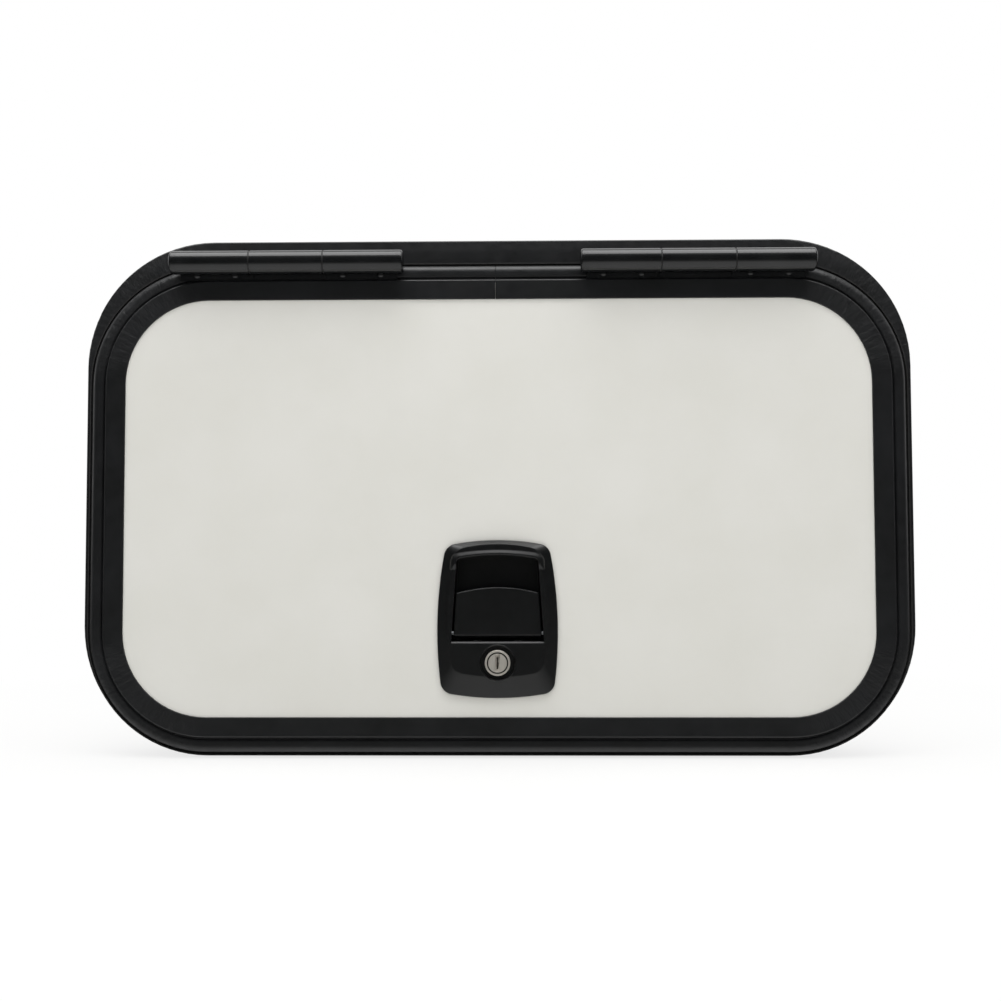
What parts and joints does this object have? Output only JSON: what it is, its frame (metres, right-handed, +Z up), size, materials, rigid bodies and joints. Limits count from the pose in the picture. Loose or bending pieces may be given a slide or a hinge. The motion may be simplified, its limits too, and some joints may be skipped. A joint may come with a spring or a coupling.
{
  "type": "caravan access door",
  "caption": "Wide rounded-corner access door for a caravan wall: black aluminium frame and trim, pale flat panel, top barrel hinges and a flush paddle lock with key cylinder.",
  "frame": {"origin": "centre of the opening, on the back face of the wall flange", "axes": "+X to the right seen from outside, +Z up, the door faces -Y and +Y points into the caravan"},
  "size_m": [0.61, 0.057, 0.38],
  "materials": {
    "frame_black": "black powder coat, satin",
    "skin_white": "smooth white fibreglass skin",
    "foam_core": "rigid foam",
    "seal_rubber": "matte black rubber",
    "hinge_black": "black powder coat, satin",
    "washer_nylon": "dark nylon",
    "cap_plastic": "moulded black",
    "lock_plastic": "moulded black with a fine grain",
    "cylinder_nickel": "satin nickel plate",
    "zinc_steel": "bright zinc plate"
  },
  "bodies": {
    "frame": {"wall_frame": "frame_black", "striker": "zinc_steel", "striker_screws": "zinc_steel", "hinge_frame_leaf_left": "hinge_black", "hinge_frame_leaf_right": "hinge_black", "frame_leaf_rivets": "hinge_black"},
    "door": {"door_trim": "frame_black", "door_seal": "seal_rubber", "outer_skin": "skin_white", "panel_core": "foam_core", "inner_skin": "skin_white", "hinge_door_leaf_left": "hinge_black", "hinge_pin_left": "zinc_steel", "hinge_washer_left_a": "washer_nylon", "hinge_cap_left_a": "cap_plastic", "hinge_washer_left_b": "washer_nylon", "hinge_cap_left_b": "cap_plastic", "hinge_door_leaf_right": "hinge_black", "hinge_pin_right": "zinc_steel", "hinge_washer_right_a": "washer_nylon", "hinge_cap_right_a": "cap_plastic", "hinge_washer_right_b": "washer_nylon", "hinge_cap_right_b": "cap_plastic", "door_leaf_rivets": "hinge_black", "lock_housing": "lock_plastic", "lock_gasket": "seal_rubber", "paddle_pin": "zinc_steel", "latch_spring": "zinc_steel", "lock_cylinder": "cylinder_nickel", "cylinder_nut": "zinc_steel", "lock_clamp_plate": "zinc_steel", "lock_clamp_screws": "zinc_steel"},
    "paddle": {"lock_paddle": "lock_plastic"},
    "latch": {"latch_bolt": "zinc_steel"},
    "key": {"key_plug": "cylinder_nickel", "lock_cam": "zinc_steel", "cam_screw": "zinc_steel"}
  },
  "joints": [
    {"name": "door_swing", "type": "hinge", "parent": "frame", "child": "door", "pos_m": [0, -0.0205, 0.1698], "axis": [-1, 0, 0], "range_deg": [0, 170]},
    {"name": "paddle_pull", "type": "hinge", "parent": "door", "child": "paddle", "pos_m": [0, -0.0124, -0.1003], "axis": [1, 0, 0], "range_deg": [0, 28]},
    {"name": "latch_slide", "type": "slide", "parent": "door", "child": "latch", "axis": [0, 0, 1], "range_m": [0, 0.0114], "stiffness_N_per_m": 400, "springref_m": -0.012, "deforming": ["latch_spring"]},
    {"name": "key_turn", "type": "hinge", "parent": "door", "child": "key", "pos_m": [0, 0, -0.1211], "axis": [0, 1, 0], "range_deg": [0, 90]}
  ],
  "couplings": [
    {"joint": "paddle_pull", "follows": "latch_slide", "rad_per_m": 42.8}
  ]
}
